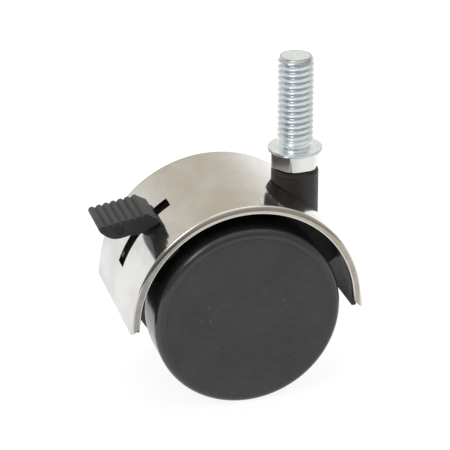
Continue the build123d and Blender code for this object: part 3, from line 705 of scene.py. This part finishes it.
def zinc():
    """Bright zinc plating: bluish white and mottled, with painted shade in the thread's roots and along the
    flange's rim, and a painted reflection on the hexagon, darker towards -X.
    """
    p = Paint("bright_zinc", 1.0)
    x, y, z = p.axes()
    radius = p.math("SQRT", p.math("ADD", p.math("MULTIPLY", x, x), p.math("MULTIPLY", y, y)))
    # painted shade: darker in the thread's roots, fading out at the neck and at the end
    root_painted_shade = p.ramp(radius, (ROOT_RADIUS + 0.5) * MM, ROOT_RADIUS * MM, 0.0, 0.68)
    root_painted_shade = p.math("MULTIPLY", root_painted_shade, p.ramp(z, NECK_LENGTH * MM, (NECK_LENGTH + 4) * MM))
    root_painted_shade = p.math("MULTIPLY", root_painted_shade, p.ramp(z, (STEM_LENGTH - 0.4) * MM, (STEM_LENGTH - 1.2) * MM))
    blotch = p.noise(1.6, 6, 0.7)
    colour = p.mix(p.ramp(blotch, 0.3, 0.7), (0.77, 0.83, 0.86), (0.88, 0.925, 0.945))
    # painted shade along the flange's rounded rim; the chamfer at the stem's end is darkened the same way
    edge = p.ramp(radius, (FLANGE_RADIUS - 0.22) * MM, (FLANGE_RADIUS - 0.06) * MM)
    chamfer = p.math("MULTIPLY", p.ramp(z, (STEM_LENGTH - 1.0) * MM, (STEM_LENGTH - 0.8) * MM),
                     p.ramp(radius, (ROOT_RADIUS - 0.35) * MM, (ROOT_RADIUS - 0.15) * MM))
    edge = p.math("MAXIMUM", edge, chamfer)
    colour = p.mix(p.math("MULTIPLY", edge, 0.75), colour, (0.46, 0.49, 0.50))
    # painted reflection: the hexagon is greyer than the stem, and darker towards -X
    hexagon = p.ramp(z, -FLANGE_THICKNESS * MM, -(FLANGE_THICKNESS + 0.15) * MM)
    hexagon_painted_tint = p.mix(p.ramp(x, -6 * MM, 1 * MM), (0.40, 0.40, 0.385), (0.74, 0.745, 0.715))
    colour = p.mix(hexagon, colour, hexagon_painted_tint)
    colour = p.mix(root_painted_shade, colour, (0.33, 0.37, 0.40))
    # darker blotches in the roots: grime and painted shade
    root_grime_and_shade = p.math("MULTIPLY", p.ramp(p.noise(0.8, 5, 0.7), 0.56, 0.72), root_painted_shade)
    colour = p.mix(root_grime_and_shade, colour, (0.12, 0.13, 0.14))
    rough = p.ramp(p.noise(0.9, 5, 0.65), 0.2, 0.8, 0.2, 0.42)
    rough = p.math("MULTIPLY", rough, p.ramp(z, -FLANGE_THICKNESS * MM, 0.0, 0.35, 1.0))
    normal = p.bump(p.noise(0.35, 4, 0.6), 0.008)
    normal = p.bump(p.noise(1.5, 3), 0.02, normal)
    return p.finish(colour, rough, normal)


def plain_metal(name, dark, light, roughness, line_size=0.2):
    """Turned or drawn steel: machining lines, slight tarnish."""
    p = Paint(name, 1.0)
    colour = p.mix(p.ramp(p.noise(2.5, 5, 0.6), 0.3, 0.7), dark, light)
    colour = p.mix(p.edges(0.2, 0.4), colour, tuple(min(1.0, 1.25 * c) for c in light))
    lines = p.noise(line_size, 3, 0.5, p.mapped((1, 0.08, 1)))
    rough = p.ramp(lines, 0.2, 0.8, roughness - 0.08, roughness + 0.1)
    return p.finish(colour, rough, p.bump(lines, 0.003))


def paint(obj, material):
    """Gives every material slot of the object this one material."""
    if not obj.data.materials:
        obj.data.materials.append(material)
    for slot in obj.material_slots:
        slot.material = material


# ---- Stage --------------------------------------------------------------------------------------
def build_floor():
    """Plain white sweep that glows, as a studio table lit from below does, and is clear from underneath."""
    reach = 4000
    corners = ((-reach, -reach), (reach, -reach), (reach, reach), (-reach, reach))
    floor = make_object("floor", [(x, y, FLOOR_Z - 0.05) for x, y in corners], [(0, 1, 2, 3)])
    p = Paint("white_sweep", Roughness=0.9)
    p.shader.inputs["Base Color"].default_value = (0.2, 0.2, 0.2, 1)
    p.shader.inputs["Emission Color"].default_value = (1, 1, 1, 1)
    p.shader.inputs["Emission Strength"].default_value = 0.88
    tree = p.material.node_tree
    side = tree.nodes.new("ShaderNodeNewGeometry")
    clear = tree.nodes.new("ShaderNodeBsdfTransparent")
    seen = tree.nodes.new("ShaderNodeMixShader")
    output = next(n for n in tree.nodes if n.type == "OUTPUT_MATERIAL")
    tree.links.new(side.outputs["Backfacing"], seen.inputs[0])
    tree.links.new(p.shader.outputs[0], seen.inputs[1])
    tree.links.new(clear.outputs[0], seen.inputs[2])
    tree.links.new(seen.outputs[0], output.inputs["Surface"])
    paint(floor, p.material)


def build_world():
    """A light tent: white low down and behind, warmer and dimmer higher up, darker on the camera's side."""
    world = bpy.data.worlds.new("studio")
    bpy.context.scene.world = world
    world.use_nodes = True
    tree = world.node_tree
    tree.nodes.clear()
    output = tree.nodes.new("ShaderNodeOutputWorld")
    background = tree.nodes.new("ShaderNodeBackground")
    tree.links.new(background.outputs[0], output.inputs[0])
    coords = tree.nodes.new("ShaderNodeTexCoord")
    axes = tree.nodes.new("ShaderNodeSeparateXYZ")
    tree.links.new(coords.outputs["Generated"], axes.inputs[0])

    def ranged(value, low, high):
        node = tree.nodes.new("ShaderNodeMapRange")
        node.interpolation_type = "SMOOTHSTEP"
        node.inputs["From Min"].default_value, node.inputs["From Max"].default_value = low, high
        tree.links.new(value, node.inputs["Value"])
        return node.outputs["Result"]

    def mixed(factor, a, b):
        node = tree.nodes.new("ShaderNodeMix")
        node.data_type = "RGBA"
        tree.links.new(factor, node.inputs["Factor"])
        for index, colour in ((6, a), (7, b)):
            if isinstance(colour, bpy.types.NodeSocket):
                tree.links.new(colour, node.inputs[index])
            else:
                node.inputs[index].default_value = (*colour, 1)
        return node.outputs[2]

    behind = mixed(ranged(axes.outputs["Z"], 0.02, 0.5), (1.0, 1.0, 1.0), (0.66, 0.62, 0.54))
    overhead = mixed(ranged(axes.outputs["Z"], 0.55, 0.9), behind, (0.8, 0.8, 0.8))
    low = mixed(ranged(axes.outputs["X"], -0.5, 0.8), (0.16, 0.16, 0.15), (0.55, 0.50, 0.44))
    middle = mixed(ranged(axes.outputs["Z"], 0.10, 0.40), low, (0.46, 0.44, 0.41))
    left = mixed(ranged(axes.outputs["X"], -0.55, -0.82), middle, (0.12, 0.12, 0.12))
    front = mixed(ranged(axes.outputs["Z"], 0.58, 0.88), left, (1.0, 1.0, 1.0))
    front = mixed(ranged(axes.outputs["Z"], -0.12, 0.0), (0.9, 0.9, 0.9), front)
    colour = mixed(ranged(axes.outputs["Y"], 0.0, 0.4), front, overhead)
    tree.links.new(colour, background.inputs["Color"])
    background.inputs["Strength"].default_value = 1.0


def softbox(name, direction, distance, size, power):
    """A square area light that looks at the caster from a direction."""
    light = bpy.data.lights.new(name, "AREA")
    light.shape, light.size, light.energy = "SQUARE", size, power
    obj = bpy.data.objects.new(name, light)
    bpy.context.scene.collection.objects.link(obj)
    towards = Vector(direction).normalized()
    obj.location = Vector((AXLE_X, 0, -30)) * MM + towards * distance
    obj.rotation_euler = towards.to_track_quat("Z", "Y").to_euler()


def build_camera():
    """Looks at the caster from its right side and behind, a little from above."""
    azimuth, elevation, roll = math.radians(-16.11), math.radians(25.0), math.radians(-0.41)
    distance, target = 0.4934, Vector((-0.0192, 0, -0.0203))
    back = Vector((math.sin(azimuth) * math.cos(elevation), -math.cos(azimuth) * math.cos(elevation),
                   math.sin(elevation)))
    level = Vector((math.cos(azimuth), math.sin(azimuth), 0))
    upright = back.cross(level)
    right = level * math.cos(roll) + upright * math.sin(roll)
    up = upright * math.cos(roll) - level * math.sin(roll)
    data = bpy.data.cameras.new("camera")
    data.sensor_width, data.lens = 36.0, 149.76
    data.clip_start, data.clip_end = 0.01, 20.0
    camera = bpy.data.objects.new("camera", data)
    bpy.context.scene.collection.objects.link(camera)
    turn = Matrix((right, up, back)).transposed().to_4x4()
    camera.matrix_world = Matrix.Translation(target + back * distance) @ turn
    bpy.context.scene.camera = camera


# ---- Build --------------------------------------------------------------------------------------
stem = build_stem()
hood = build_hood()
right_tread, right_face = build_wheel("right", -1)
left_tread, left_face = build_wheel("left", 1)
lever_pieces = build_lever()

black_nylon = plastic("black_nylon", (0.022, 0.0215, 0.021), (0.031, 0.030, 0.029), 0.45, 0.18, 0.012,
                      Specular_IOR_Level=0.25)
# the lever: painted shade on the pedal's sides
lever_nylon = plastic("lever_nylon", (0.034, 0.035, 0.036), (0.052, 0.053, 0.055), 0.5, 0.2, 0.014,
                      painted_shade_beyond=PEDAL_HALF_WIDTH - 0.05, Specular_IOR_Level=0.35)
# the treads: painted sheen on their rounded shoulders
tread_nylon = plastic("tread_nylon", (0.016, 0.015, 0.015), (0.022, 0.021, 0.021), 0.17, 0.5, 0.0008,
                      painted_sheen_beyond=WHEEL_OUTER_Y - 1.7)
face_nylon = plastic("face_nylon", (0.018, 0.018, 0.018), (0.028, 0.028, 0.028), 0.5, 0.14, 0.010, 0.8)
nickel_plate, zinc_plate = nickel(), zinc()
steel = plain_metal("turned_steel", (0.52, 0.53, 0.55), (0.68, 0.69, 0.70), 0.3)
spring_wire = plain_metal("spring_steel", (0.30, 0.30, 0.32), (0.45, 0.45, 0.47), 0.35, 0.1)
rubber = plastic("brake_rubber", (0.020, 0.020, 0.020), (0.032, 0.032, 0.031), 0.75, 0.12, 0.02)

for piece in (right_tread, left_tread):
    paint(piece, tread_nylon)
for piece in (right_face, left_face):
    paint(piece, face_nylon)
for piece in lever_pieces:
    paint(piece, lever_nylon)
paint(stem, zinc_plate)
paint(hood, nickel_plate)
by_slot = {"black_nylon": black_nylon, "plain_steel": steel, "spring_steel": spring_wire,
           "brake_rubber": rubber, "zinc_plated_steel": zinc_plate, "polished_nickel": nickel_plate,
           "wheel_nylon": tread_nylon, "cover_nylon": face_nylon}
for part in frame["record"]["subparts"]:
    paint(frame["nodes"][part["node"]], by_slot[part["material_slot"]])

build_floor()
build_world()
softbox("key_light", (-0.57, -0.49, 0.66), 0.9, 0.34, 1.4)
softbox("top_light", (0.15, 0.55, 0.82), 0.9, 0.6, 0.8)
build_camera()
bpy.context.scene.view_settings.view_transform = "Standard"
